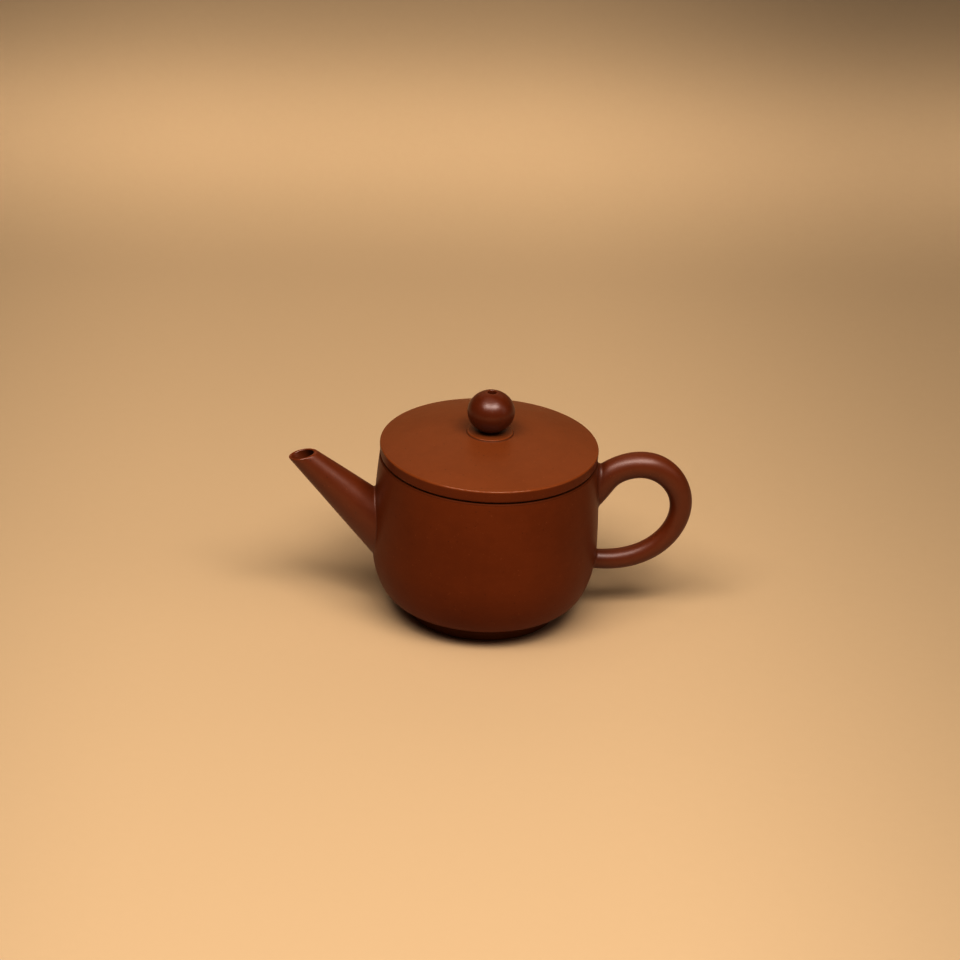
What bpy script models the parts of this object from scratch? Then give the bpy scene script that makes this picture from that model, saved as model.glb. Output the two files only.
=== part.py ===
"""A small straight-spouted yixing clay teapot with a full-width lid and a ball knob.

Lengths are in metres. +Z is up and z = 0 is the table. The pot's axis is the Z axis, the spout points along -X
and the handle is on the +X side, so the Y = 0 plane is the pot's plane of symmetry.

Each piece of clay is one object, as it is before it is luted to its neighbours. Neighbours keep a slip joint of
0.3 mm between them.
"""

import math

import bmesh
import bpy
from mathutils import Vector

MM = 0.001
JOINT = 0.3 * MM  # slip joint left between luted pieces

# Body: a beaten cylinder that bulges a little, rolled in at the bottom on a quarter superellipse
RIM_Z = 52.2 * MM
RIM_R = 33.9 * MM
BELLY_Z = 23.4 * MM
BELLY_R = 35.35 * MM
BULGE_POWER = 1.9  # how the wall draws in from the belly up to the rim
TURN_R = 28.17 * MM  # centre radius and lowest height of the rolled-in quarter
TURN_Z = 5.69 * MM
TURN_POWER = 1.9
UNDERSIDE_SLOPE = math.radians(28.0)  # cone that runs from the rolled corner in to the foot
WALL = 2.3 * MM
BOTTOM_HOLE_R = 23.95 * MM

# Base and foot
BASE_R = BOTTOM_HOLE_R - JOINT
BASE_Z = 3.2 * MM
BASE_THICK = 2.5 * MM
FOOT_OUTER_R = 23.88 * MM
FOOT_INNER_R = 20.6 * MM
FOOT_HEIGHT = 2.85 * MM
FOOT_CHAMFER = 0.35 * MM

# Mouth ring inside the rim
MOUTH_R = 27.3 * MM
MOUTH_OUTER_R = 31.2 * MM
MOUTH_DEPTH = 2.8 * MM

# Lid
LID_R = 34.0 * MM
LID_UNDER_R = 33.72 * MM
LID_UNDER_Z = 52.5 * MM
LID_EDGE_Z = 56.5 * MM  # where the top begins, at the edge
LID_CROWN = 4.2 * MM  # rise of the dome from edge to centre
LID_EDGE_ROUND = 0.45 * MM
LID_THICK = 3.5 * MM
FLANGE_OUTER_R = 26.9 * MM  # 0.4 mm of play in the mouth
FLANGE_INNER_R = 24.6 * MM
FLANGE_BOTTOM_Z = 44.2 * MM

# Knob, its seat, and the vent that runs down through knob, seat and lid
SEAT_R = 7.2 * MM
SEAT_Z = 61.15 * MM
SEAT_THICK = 0.8 * MM
KNOB_Z = 67.66 * MM
KNOB_R = 7.35 * MM
KNOB_HALF_HEIGHT = 6.66 * MM
KNOB_NECK_R = 2.8 * MM
VENT_R = 1.25 * MM
VENT_MOUTH_R = 1.45 * MM

# Spout: a straight cone in the Y = 0 plane, its mouth cut nearly level
SPOUT_START = Vector((-34.1 * MM, 0.0, 29.84 * MM))  # where its axis meets the wall
SPOUT_RISE = math.radians(42.04)
SPOUT_R = 8.16 * MM  # outer radius at SPOUT_START
SPOUT_TAPER = -0.1391  # change of outer radius per unit of length
SPOUT_LENGTH = 32.5 * MM  # along the axis, to the middle of the mouth
SPOUT_MOUTH_TILT = math.radians(13.5)  # the mouth falls outwards by this
SPOUT_BORE_R = 6.0 * MM  # at SPOUT_START
SPOUT_BORE_MOUTH_R = 2.65 * MM

# Strainer: a pierced dome luted over the spout hole inside the wall
DOME_R = 9.6 * MM
DOME_HEIGHT = 4.4 * MM
DOME_THICK = 1.4 * MM
DOME_HOLE_R = 0.95 * MM
DOME_HOLE_PITCH = 2.9 * MM

# Handle: a round tapered roll of clay. Its centreline is a cubic B-spline on this cage in the Y = 0 plane,
# each entry being (distance from the pot's axis, height, radius of the roll), from the upper root to the lower.
HANDLE_CAGE = (
    (30.2, 39.2, 5.70),
    (34.9, 43.1, 4.97),
    (37.3, 48.6, 3.74),
    (54.1, 53.15, 4.52),
    (67.0, 33.5, 2.95),
    (49.3, 15.05, 3.37),
    (31.2, 17.8, 3.02),
)

AXIS_X = -1.2 * MM  # the pot's axis, so that the frame's origin is under the middle of its length

ROUND = 60  # divisions of the turned pieces
ROUND_SMALL = 32  # divisions of the knob and its seat

CLAY = (0.135, 0.036, 0.012, 1.0)


def clear_scene():
    for obj in list(bpy.data.objects):
        bpy.data.objects.remove(obj, do_unlink=True)


def clay_material(name, tint=1.0, roughness=0.42):
    material = bpy.data.materials.new(name)
    material.use_nodes = True
    shader = material.node_tree.nodes["Principled BSDF"]
    colour = [c * tint for c in CLAY[:3]] + [1.0]
    shader.inputs["Base Color"].default_value = colour
    shader.inputs["Roughness"].default_value = roughness
    shader.inputs["Metallic"].default_value = 0.0
    material.diffuse_color = colour
    return material


def body_radius(z):
    """Outer radius of the body at height z."""
    if z >= BELLY_Z:
        t = (z - BELLY_Z) / (RIM_Z - BELLY_Z)
        return BELLY_R - (BELLY_R - RIM_R) * t**BULGE_POWER
    corner = corner_angle()
    corner_r, corner_z = turned_point(corner)
    if z >= corner_z:
        depth = min(1.0, (BELLY_Z - z) / (BELLY_Z - TURN_Z))
        sine = depth ** (TURN_POWER / 2)
        cosine = math.sqrt(max(0.0, 1 - sine * sine))
        return TURN_R + (BELLY_R - TURN_R) * cosine ** (2 / TURN_POWER)
    return corner_r - (corner_z - z) / math.tan(UNDERSIDE_SLOPE)


def turned_point(angle):
    """Point of the rolled-in quarter, from 0 at the belly to pi / 2 underneath."""
    power = 2 / TURN_POWER
    return (
        TURN_R + (BELLY_R - TURN_R) * math.cos(angle) ** power,
        BELLY_Z - (BELLY_Z - TURN_Z) * math.sin(angle) ** power,
    )


def corner_angle():
    """Angle on the rolled-in quarter where it has become as flat as the underside cone."""
    low, high = 0.3, math.pi / 2 - 1e-4
    for _ in range(50):
        mid = (low + high) / 2
        (ra, za), (rb, zb) = turned_point(mid - 1e-5), turned_point(mid + 1e-5)
        if (za - zb) / (ra - rb) > math.tan(UNDERSIDE_SLOPE):
            low = mid
        else:
            high = mid
    return (low + high) / 2


def body_profile(steps_up, steps_turn):
    """(r, z) down the outside, from the rim to the bottom hole."""
    points = []
    for i in range(steps_up):
        z = RIM_Z + (BELLY_Z - RIM_Z) * i / steps_up
        points.append((body_radius(z), z))
    corner = corner_angle()
    for i in range(steps_turn + 1):
        # closer together towards the tight corner
        points.append(turned_point(corner * math.sin(math.pi / 2 * i / steps_turn)))
    corner_r, corner_z = turned_point(corner)
    points.append(
        (BOTTOM_HOLE_R, corner_z - (corner_r - BOTTOM_HOLE_R) * math.tan(UNDERSIDE_SLOPE))
    )
    return points


def inset_profile(points, distance):
    """The profile moved inwards, square to itself, by a distance."""
    moved = []
    for i, (r, z) in enumerate(points):
        r0, z0 = points[max(i - 1, 0)]
        r1, z1 = points[min(i + 1, len(points) - 1)]
        length = math.hypot(r1 - r0, z1 - z0)
        # the outside runs downwards, so inwards is to its right
        moved.append((r + distance * (z1 - z0) / length, z - distance * (r1 - r0) / length))
    return moved


def link(name, bm, material, location=(0, 0, 0), parent=None):
    bmesh.ops.recalc_face_normals(bm, faces=bm.faces)
    mesh = bpy.data.meshes.new(name)
    bm.to_mesh(mesh)
    bm.free()
    mesh.materials.append(material)
    mesh.shade_smooth()
    mesh.set_sharp_from_angle(angle=math.radians(32))
    obj = bpy.data.objects.new(name, mesh)
    bpy.context.scene.collection.objects.link(obj)
    obj.location = location
    obj.parent = parent
    return obj


def turned(name, profile, material, divisions=ROUND, parent=None, base_z=0.0):
    """A solid turned about Z from a closed (r, z) profile. The object's origin is on the axis, at base_z."""
    bm = bmesh.new()
    rings = []
    for k in range(divisions):
        angle = 2 * math.pi * k / divisions
        rings.append(
            [
                bm.verts.new((r * math.cos(angle), r * math.sin(angle), z - base_z))
                for r, z in profile
            ]
        )
    count = len(profile)
    for k in range(divisions):
        here, there = rings[k], rings[(k + 1) % divisions]
        for i in range(count):
            j = (i + 1) % count
            bm.faces.new((here[i], here[j], there[j], there[i]))
    return link(name, bm, material, (0, 0, base_z), parent)


def turned_disc(name, profile, material, divisions=ROUND, parent=None, base_z=0.0):
    """As turned, for a disc without a hole: the profile starts and ends on the axis."""
    bm = bmesh.new()
    top = bm.verts.new((0, 0, profile[0][1] - base_z))
    bottom = bm.verts.new((0, 0, profile[-1][1] - base_z))
    rings = []
    for k in range(divisions):
        angle = 2 * math.pi * k / divisions
        rings.append(
            [
                bm.verts.new((r * math.cos(angle), r * math.sin(angle), z - base_z))
                for r, z in profile[1:-1]
            ]
        )
    for k in range(divisions):
        here, there = rings[k], rings[(k + 1) % divisions]
        bm.faces.new((top, here[0], there[0]))
        for i in range(len(here) - 1):
            bm.faces.new((here[i], here[i + 1], there[i + 1], there[i]))
        bm.faces.new((bottom, there[-1], here[-1]))
    return link(name, bm, material, (0, 0, base_z), parent)


def outside_body(point):
    """How far a point is outside the body wall's surface plus the slip joint."""
    return math.hypot(point.x, point.y) - body_radius(point.z) - JOINT


def crossing(function, low, high):
    """The parameter between low and high where a function changes sign."""
    positive = function(high) > 0
    for _ in range(48):
        mid = (low + high) / 2
        if (function(mid) > 0) == positive:
            high = mid
        else:
            low = mid
    return (low + high) / 2


def lid_top(r):
    """Height of the lid's domed top at a radius: an arc that rises LID_CROWN over the lid."""
    arc = (LID_R**2 + LID_CROWN**2) / (2 * LID_CROWN)
    return LID_EDGE_Z + LID_CROWN - (arc - math.sqrt(arc**2 - r * r))


def spline(cage, u):
    """Point of the clamped uniform cubic B-spline on a cage, with u from 0 to 1."""
    last = len(cage) - 3
    knots = [0] * 3 + list(range(last + 1)) + [last] * 3
    t = min(max(u, 0.0), 1.0) * last
    span = min(int(t), last - 1) + 3
    work = [list(cage[span - 3 + j]) for j in range(4)]
    for level in range(1, 4):
        for j in range(3, level - 1, -1):
            low = knots[j + span - 3]
            share = (t - low) / (knots[j + 1 + span - level] - low)
            work[j] = [(1 - share) * a + share * b for a, b in zip(work[j - 1], work[j])]
    return work[3]


def handle_surface(u, angle):
    """Point of the handle's skin: u along the roll, angle around it from its outer side."""
    r, z, radius = (value * MM for value in spline(HANDLE_CAGE, u))
    step = 1e-4
    r0, z0, _ = spline(HANDLE_CAGE, u - step)
    r1, z1, _ = spline(HANDLE_CAGE, u + step)
    along = Vector((r1 - r0, 0, z1 - z0)).normalized()
    outward = Vector((-along.z, 0, along.x))
    side = Vector((0, 1, 0))
    centre = Vector((r, 0, z))
    return centre + radius * (math.cos(angle) * outward + math.sin(angle) * side)


SPOUT_ALONG = Vector((-math.cos(SPOUT_RISE), 0, math.sin(SPOUT_RISE)))
SPOUT_UP = Vector((math.sin(SPOUT_RISE), 0, math.cos(SPOUT_RISE)))
SPOUT_SIDE = Vector((0, 1, 0))
SPOUT_TIP = SPOUT_START + SPOUT_LENGTH * SPOUT_ALONG


def spout_surface(s, angle, bore):
    """Point of the spout's skin, or of its bore: s along its axis, angle around it from the top."""
    if bore:
        radius = SPOUT_BORE_R + (SPOUT_BORE_MOUTH_R - SPOUT_BORE_R) * s / SPOUT_LENGTH
    else:
        radius = SPOUT_R + SPOUT_TAPER * s
    return (
        SPOUT_START
        + s * SPOUT_ALONG
        + radius * (math.cos(angle) * SPOUT_UP + math.sin(angle) * SPOUT_SIDE)
    )


def over_mouth(point):
    """How far a point is beyond the plane of the spout's mouth."""
    normal = Vector((-math.sin(SPOUT_MOUTH_TILT), 0, math.cos(SPOUT_MOUTH_TILT)))
    return (point - SPOUT_TIP).dot(normal)


def make_body_wall(material, cutter):
    outside = body_profile(6, 6)
    inside = inset_profile(body_profile(4, 5), WALL)
    inside[0] = (inside[0][0], RIM_Z)
    # the bottom hole is cut upright through the wall
    rise = inside[-1][1] - inside[-2][1]
    run = inside[-1][0] - inside[-2][0]
    inside[-1] = (
        BOTTOM_HOLE_R,
        inside[-2][1] + rise / run * (BOTTOM_HOLE_R - inside[-2][0]),
    )
    wall = turned("body_wall", outside + inside[::-1], material)
    cut = wall.modifiers.new("spout_hole", "BOOLEAN")
    cut.operation = "DIFFERENCE"
    cut.solver = "EXACT"
    cut.object = cutter
    return wall


def make_spout_hole_cutter():
    """A guide: the spout's bore carried on through the wall."""
    bm = bmesh.new()
    ends = []
    count = 24
    for s in (-7 * MM, 6 * MM):
        ends.append(
            [
                bm.verts.new(
                    SPOUT_START
                    + s * SPOUT_ALONG
                    + (SPOUT_BORE_R - 0.3 * MM)
                    * (
                        math.cos(2 * math.pi * k / count) * SPOUT_UP
                        + math.sin(2 * math.pi * k / count) * SPOUT_SIDE
                    )
                )
                for k in range(count)
            ]
        )
    bm.faces.new(ends[0])
    bm.faces.new(ends[1][::-1])
    for k in range(count):
        n = (k + 1) % count
        bm.faces.new((ends[0][k], ends[0][n], ends[1][n], ends[1][k]))
    guide = link("spout_hole_guide", bm, bpy.data.materials.new("guide"))
    guide.hide_render = True
    guide.display_type = "WIRE"
    return guide


def make_spout(material, rings=6, count=32):
    bm = bmesh.new()
    skins = []
    for bore in (False, True):
        columns = []
        for k in range(count):
            angle = 2 * math.pi * k / count
            root = crossing(
                lambda s: outside_body(spout_surface(s, angle, bore)), -8 * MM, 14 * MM
            )
            tip = crossing(
                lambda s: over_mouth(spout_surface(s, angle, bore)), 20 * MM, 40 * MM
            )
            columns.append(
                [
                    bm.verts.new(
                        spout_surface(root + (tip - root) * i / rings, angle, bore)
                    )
                    for i in range(rings + 1)
                ]
            )
        skins.append(columns)
    outer, inner = skins
    for k in range(count):
        n = (k + 1) % count
        for skin in skins:
            for i in range(rings):
                bm.faces.new((skin[k][i], skin[k][i + 1], skin[n][i + 1], skin[n][i]))
        for i in (0, rings):
            bm.faces.new((outer[k][i], outer[n][i], inner[n][i], inner[k][i]))
    return link("spout", bm, material)


def make_handle(material, rings=22, count=20):
    bm = bmesh.new()
    columns = []
    for k in range(count):
        angle = 2 * math.pi * k / count
        upper = crossing(lambda u: outside_body(handle_surface(u, angle)), 0.0, 0.4)
        lower = crossing(lambda u: outside_body(handle_surface(u, angle)), 1.0, 0.7)
        columns.append(
            [
                bm.verts.new(handle_surface(upper + (lower - upper) * i / rings, angle))
                for i in range(rings + 1)
            ]
        )
    for k in range(count):
        n = (k + 1) % count
        for i in range(rings):
            bm.faces.new(
                (columns[k][i], columns[k][i + 1], columns[n][i + 1], columns[n][i])
            )
    for i in (0, rings):
        rim = [column[i] for column in columns]
        middle = sum((v.co for v in rim), Vector()) / count
        reach = body_radius(middle.z) + JOINT
        centre = bm.verts.new((reach, 0, middle.z))
        for k in range(count):
            bm.faces.new((rim[k], rim[(k + 1) % count], centre))
    return link("handle", bm, material)


def inner_wall_radius(z):
    """Radius of the body wall's inner surface at a height where the wall is nearly upright."""
    lean = (body_radius(z + 1e-4) - body_radius(z - 1e-4)) / 2e-4
    return body_radius(z) - WALL * math.sqrt(1 + lean * lean)


def make_strainer(material, count=28, bands=4):
    """A dome that bulges into the pot, draped over the curve of the wall, with a hexagon of holes."""
    # the dome is centred where the spout's bore passes the inner surface of the wall
    depth = crossing(
        lambda s: -inner_wall_radius((SPOUT_START + s * SPOUT_ALONG).z)
        - (SPOUT_START + s * SPOUT_ALONG).x,
        -8 * MM,
        4 * MM,
    )
    centre_z = (SPOUT_START + depth * SPOUT_ALONG).z

    def place(radius, angle, height):
        y, z = radius * math.sin(angle), centre_z + radius * math.cos(angle)
        reach = inner_wall_radius(z) - JOINT
        return Vector((-math.sqrt(reach * reach - y * y) + height, y, z))

    edge = 0.8 * MM
    under_r = DOME_R - DOME_THICK
    section = []
    for i in range(1, bands + 1):
        t = i / bands
        section.append((DOME_R * t, edge + (DOME_HEIGHT - edge) * (1 - t * t)))
    section.append((DOME_R, 0.0))
    for i in range(bands):
        t = 1 - i / bands
        section.append((under_r * t, (DOME_HEIGHT - DOME_THICK) * (1 - t * t)))
    bm = bmesh.new()
    top = bm.verts.new(place(0, 0, DOME_HEIGHT))
    bottom = bm.verts.new(place(0, 0, DOME_HEIGHT - DOME_THICK))
    rings = [
        [bm.verts.new(place(r, 2 * math.pi * k / count, h)) for r, h in section]
        for k in range(count)
    ]
    for k in range(count):
        here, there = rings[k], rings[(k + 1) % count]
        bm.faces.new((top, here[0], there[0]))
        for i in range(len(section) - 1):
            bm.faces.new((here[i], here[i + 1], there[i + 1], there[i]))
        bm.faces.new((bottom, there[-1], here[-1]))
    dome = link("spout_strainer", bm, material)

    bm = bmesh.new()
    sides = 8
    for row in range(-2, 3):
        in_row = 5 - abs(row)
        for column in range(in_row):
            y = (column - (in_row - 1) / 2) * DOME_HOLE_PITCH
            z = centre_z + row * DOME_HOLE_PITCH * math.sqrt(3) / 2
            ends = []
            for x in (-inner_wall_radius(z) - 1 * MM, -inner_wall_radius(z) + 8 * MM):
                ends.append(
                    [
                        bm.verts.new(
                            (
                                x,
                                y + DOME_HOLE_R * math.cos(2 * math.pi * k / sides),
                                z + DOME_HOLE_R * math.sin(2 * math.pi * k / sides),
                            )
                        )
                        for k in range(sides)
                    ]
                )
            bm.faces.new(ends[0][::-1])
            bm.faces.new(ends[1])
            for k in range(sides):
                n = (k + 1) % sides
                bm.faces.new((ends[0][k], ends[0][n], ends[1][n], ends[1][k]))
    punch = link("strainer_punch_guide", bm, bpy.data.materials.new("guide"))
    punch.hide_render = True
    punch.display_type = "WIRE"
    cut = dome.modifiers.new("holes", "BOOLEAN")
    cut.operation = "DIFFERENCE"
    cut.solver = "EXACT"
    cut.object = punch
    return dome


def make_base(material):
    top = BASE_Z + BASE_THICK
    return turned_disc(
        "base_disc",
        [(0, top), (BASE_R * 0.5, top), (BASE_R, top), (BASE_R, BASE_Z), (BASE_R * 0.5, BASE_Z), (0, BASE_Z)],
        material,
    )


def make_foot(material):
    c = FOOT_CHAMFER
    profile = [
        (FOOT_OUTER_R, FOOT_HEIGHT),
        (FOOT_OUTER_R, c),
        (FOOT_OUTER_R - 0.3 * c, 0.3 * c),
        (FOOT_OUTER_R - c, 0),
        (FOOT_INNER_R + c, 0),
        (FOOT_INNER_R + 0.3 * c, 0.3 * c),
        (FOOT_INNER_R, c),
        (FOOT_INNER_R - 0.3 * MM, FOOT_HEIGHT),
    ]
    return turned("foot_ring", profile, material)


def make_mouth_ring(material):
    bottom = RIM_Z - MOUTH_DEPTH
    profile = [
        (MOUTH_OUTER_R, RIM_Z),
        (MOUTH_OUTER_R, bottom),
        (MOUTH_R + 0.4 * MM, bottom),
        (MOUTH_R, bottom + 0.4 * MM),
        (MOUTH_R, RIM_Z - 0.3 * MM),
        (MOUTH_R + 0.3 * MM, RIM_Z),
    ]
    return turned("mouth_ring", profile, material)


def make_flange(material, parent):
    top = LID_UNDER_Z - JOINT
    low = FLANGE_BOTTOM_Z
    profile = [
        (FLANGE_OUTER_R, top),
        (FLANGE_OUTER_R, low + 3.0 * MM),
        (FLANGE_OUTER_R - 0.5 * MM, low + 0.4 * MM),
        (FLANGE_OUTER_R - 0.9 * MM, low),
        (FLANGE_INNER_R + 0.4 * MM, low),
        (FLANGE_INNER_R, low + 0.4 * MM),
        (FLANGE_INNER_R, top),
    ]
    return turned("lid_flange", profile, material, parent=parent)


def make_lid_plate(material, parent):
    recess_r = SEAT_R + JOINT
    recess_z = SEAT_Z - SEAT_THICK - JOINT
    top = []
    for r in (recess_r, 17 * MM, 26 * MM, LID_R - 1.4 * MM):
        top.append((r, lid_top(r)))
    e = LID_EDGE_ROUND
    edge_z = lid_top(LID_R)
    for i in range(3):
        a = math.pi / 2 * i / 2
        top.append((LID_R - e + e * math.sin(a), edge_z - e + e * math.cos(a)))
    under = [
        (LID_UNDER_R, LID_UNDER_Z + 0.25 * MM),
        (LID_UNDER_R - 0.25 * MM, LID_UNDER_Z),
        (FLANGE_INNER_R - 0.3 * MM, LID_UNDER_Z),
    ]
    for r in (FLANGE_INNER_R - 1.0 * MM, 13 * MM):
        under.append((r, lid_top(r) - LID_THICK))
    profile = (
        [(VENT_R, recess_z), (recess_r, recess_z)]
        + top
        + under
        + [(VENT_R, lid_top(VENT_R) - LID_THICK)]
    )
    return turned("lid_plate", profile, material, parent=parent)


def make_knob_seat(material, parent):
    low = SEAT_Z - SEAT_THICK
    profile = [
        (VENT_R, SEAT_Z),
        (SEAT_R - 0.25 * MM, SEAT_Z),
        (SEAT_R, SEAT_Z - 0.25 * MM),
        (SEAT_R, low),
        (VENT_R, low),
    ]
    return turned("knob_seat", profile, material, ROUND_SMALL, parent)


def make_knob(material, parent):
    low = SEAT_Z + JOINT

    def skin_z(r, side):
        return KNOB_Z + side * KNOB_HALF_HEIGHT * math.sqrt(1 - (r / KNOB_R) ** 2)

    start = math.acos(VENT_MOUTH_R / KNOB_R)
    end = -math.acos(KNOB_NECK_R / KNOB_R)
    steps = 11
    profile = [(VENT_R, skin_z(VENT_MOUTH_R, 1) - 0.35 * MM)]
    for i in range(steps + 1):
        a = start + (end - start) * i / steps
        profile.append(
            (KNOB_R * math.cos(a), KNOB_Z + KNOB_HALF_HEIGHT * math.sin(a))
        )
    profile += [(KNOB_NECK_R, low), (VENT_R, low)]
    return turned("knob", profile, material, ROUND_SMALL, parent)


def main():
    clear_scene()
    pot_clay = clay_material("pot_clay")
    spout_clay = clay_material("spout_clay", 1.05, 0.38)
    handle_clay = clay_material("handle_clay", 1.05, 0.38)
    lid_clay = clay_material("lid_clay", 1.1, 0.45)
    inner_clay = clay_material("inner_clay", 0.9, 0.7)

    make_body_wall(pot_clay, make_spout_hole_cutter())
    make_base(inner_clay)
    make_foot(pot_clay)
    make_mouth_ring(pot_clay)
    make_spout(spout_clay)
    make_strainer(inner_clay)
    make_handle(handle_clay)

    # The lid hangs on this empty, which lies on the axis that the lid lifts along and turns about.
    lid = bpy.data.objects.new("lid_axis", None)
    bpy.context.scene.collection.objects.link(lid)
    lid.empty_display_size = 5 * MM
    make_flange(inner_clay, lid)
    make_lid_plate(lid_clay, lid)
    make_knob_seat(lid_clay, lid)
    make_knob(lid_clay, lid)

    # Every piece is drawn about the pot's axis. This empty puts the axis in its place in the frame.
    axis = bpy.data.objects.new("pot_axis", None)
    bpy.context.scene.collection.objects.link(axis)
    axis.empty_display_size = 5 * MM
    for obj in bpy.context.scene.objects:
        if obj.parent is None and obj != axis:
            obj.parent = axis
    axis.location.x = AXIS_X


main()
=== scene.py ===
"""The finished surface of a small yixing clay teapot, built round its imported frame.

Lengths inside the shape functions are in millimetres in the row frame; meshes are written in metres.
"""

import math

import bmesh
import bpy
from mathutils import Matrix, Vector, noise


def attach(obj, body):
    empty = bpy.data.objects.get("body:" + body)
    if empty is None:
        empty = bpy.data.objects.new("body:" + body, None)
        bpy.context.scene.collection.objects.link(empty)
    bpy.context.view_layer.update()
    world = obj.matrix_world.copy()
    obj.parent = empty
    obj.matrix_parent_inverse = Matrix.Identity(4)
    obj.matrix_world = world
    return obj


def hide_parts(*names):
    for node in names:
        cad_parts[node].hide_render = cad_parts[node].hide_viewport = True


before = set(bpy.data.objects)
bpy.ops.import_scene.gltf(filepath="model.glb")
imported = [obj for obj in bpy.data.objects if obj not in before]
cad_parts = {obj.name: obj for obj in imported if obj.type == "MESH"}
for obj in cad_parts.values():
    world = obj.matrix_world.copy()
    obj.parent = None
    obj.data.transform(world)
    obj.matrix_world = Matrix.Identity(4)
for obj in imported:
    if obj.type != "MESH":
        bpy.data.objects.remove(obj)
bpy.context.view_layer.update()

MM = 0.001

# ---------------------------------------------------------------- the pot's dimensions, as in the frame
RIM_Z, RIM_R = 52.2, 33.9
BELLY_Z, BELLY_R, BULGE_POWER = 23.4, 35.35, 1.9
TURN_R, TURN_Z, TURN_POWER = 28.17, 5.69, 1.9
UNDERSIDE = math.radians(28.0)
WALL = 2.3
BOTTOM_R = 23.95
BASE_Z, BASE_TOP = 3.2, 5.7
FOOT_OUTER, FOOT_INNER = 23.88, 20.6
MOUTH_R, MOUTH_DEPTH = 27.3, 2.8
LID_R, LID_UNDER_R, LID_UNDER_Z, LID_EDGE_Z = 34.0, 33.72, 52.5, 56.5
LID_CROWN, LID_THICK = 4.2, 3.5
FLANGE_OUTER, FLANGE_INNER, FLANGE_BOTTOM = 26.9, 24.6, 44.2
SEAT_R, SEAT_Z = 7.2, 61.15
KNOB_Z, KNOB_R, KNOB_HALF = 67.66, 7.35, 6.66
VENT_R, VENT_MOUTH_R = 1.25, 1.45
SPOUT_START = Vector((-34.1, 0.0, 29.84))
SPOUT_RISE = math.radians(42.04)
SPOUT_R, SPOUT_TAPER, SPOUT_LENGTH = 8.16, -0.1391, 32.5
SPOUT_TILT = math.radians(13.5)
BORE_R, BORE_MOUTH_R = 6.0, 2.85
DOME_R, DOME_HEIGHT, DOME_THICK = 9.6, 4.4, 1.4
DOME_HOLE_R, DOME_PITCH = 0.95, 2.9
HANDLE_CAGE = (
    (30.2, 39.2, 5.70),
    (34.9, 43.1, 4.97),
    (37.3, 48.6, 3.74),
    (54.1, 53.15, 4.52),
    (67.0, 33.5, 2.95),
    (49.3, 15.05, 3.37),
    (31.2, 17.8, 3.02),
)

AXIS_X = -1.2  # where the pot's axis stands; every shape below is drawn about it

ROUND = 240

# ---------------------------------------------------------------- camera
# The lid's top plane on the axis is what the camera is aimed by.
FOCAL_PX = 3409.0
IMAGE = 960
DISTANCE = 31.095 * 34.0
ELEVATION = math.radians(25.352)
ROLL = math.radians(2.984)
AIM_X, AIM_Y = 489.48, 443.91
AIM_Z = 56.498
AZIMUTH = math.radians(-4.0)


def make_camera():
    data = bpy.data.cameras.new("camera")
    data.sensor_width = 36.0
    data.lens = FOCAL_PX / IMAGE * 36.0
    data.clip_start, data.clip_end = 0.01, 50.0
    cam = bpy.data.objects.new("camera", data)
    bpy.context.scene.collection.objects.link(cam)
    ce, se = math.cos(ELEVATION), math.sin(ELEVATION)
    base = Matrix(((1, 0, 0), (0, -se, -ce), (0, ce, -se)))  # rows: right, down, forward
    aim = Vector(
        ((AIM_X - IMAGE / 2) / FOCAL_PX, (AIM_Y - IMAGE / 2) / FOCAL_PX, 1)
    ).normalized()
    swing = Vector((0, 0, 1)).rotation_difference(aim).to_matrix()
    roll = Matrix.Rotation(ROLL, 3, aim)
    rows = roll @ swing @ base
    turn = Matrix.Rotation(AZIMUTH, 3, "Z")
    right, down, forward = (turn @ rows[i] for i in range(3))
    place = turn @ Vector((0, -DISTANCE * ce, DISTANCE * se)) + Vector((AXIS_X, 0, AIM_Z))
    world = Matrix((right, -down, -forward)).transposed().to_4x4()
    world.translation = place * MM
    cam.matrix_world = world
    bpy.context.scene.camera = cam
    return cam


# ---------------------------------------------------------------- shape functions
def turned_point(angle):
    power = 2 / TURN_POWER
    return (
        TURN_R + (BELLY_R - TURN_R) * math.cos(angle) ** power,
        BELLY_Z - (BELLY_Z - TURN_Z) * math.sin(angle) ** power,
    )


def find_corner():
    low, high = 0.3, math.pi / 2 - 1e-4
    for _ in range(50):
        mid = (low + high) / 2
        (ra, za), (rb, zb) = turned_point(mid - 1e-5), turned_point(mid + 1e-5)
        if (za - zb) / (ra - rb) > math.tan(UNDERSIDE):
            low = mid
        else:
            high = mid
    return (low + high) / 2


CORNER = find_corner()
CORNER_R, CORNER_Z = turned_point(CORNER)


def body_radius(z):
    if z >= BELLY_Z:
        t = (z - BELLY_Z) / (RIM_Z - BELLY_Z)
        return BELLY_R - (BELLY_R - RIM_R) * t**BULGE_POWER
    if z >= CORNER_Z:
        depth = min(1.0, (BELLY_Z - z) / (BELLY_Z - TURN_Z))
        sine = depth ** (TURN_POWER / 2)
        cosine = math.sqrt(max(0.0, 1 - sine * sine))
        return TURN_R + (BELLY_R - TURN_R) * cosine ** (2 / TURN_POWER)
    return CORNER_R - (CORNER_Z - z) / math.tan(UNDERSIDE)


def body_normal(point):
    lean = (body_radius(point.z + 0.02) - body_radius(point.z - 0.02)) / 0.04
    out = Vector((point.x, point.y, 0)).normalized()
    return Vector((out.x, out.y, -lean)).normalized()


def outside(point):
    """Distance outside the body's surface."""
    lean = (body_radius(point.z + 0.02) - body_radius(point.z - 0.02)) / 0.04
    return (math.hypot(point.x, point.y) - body_radius(point.z)) / math.sqrt(
        1 + lean * lean
    )


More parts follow.
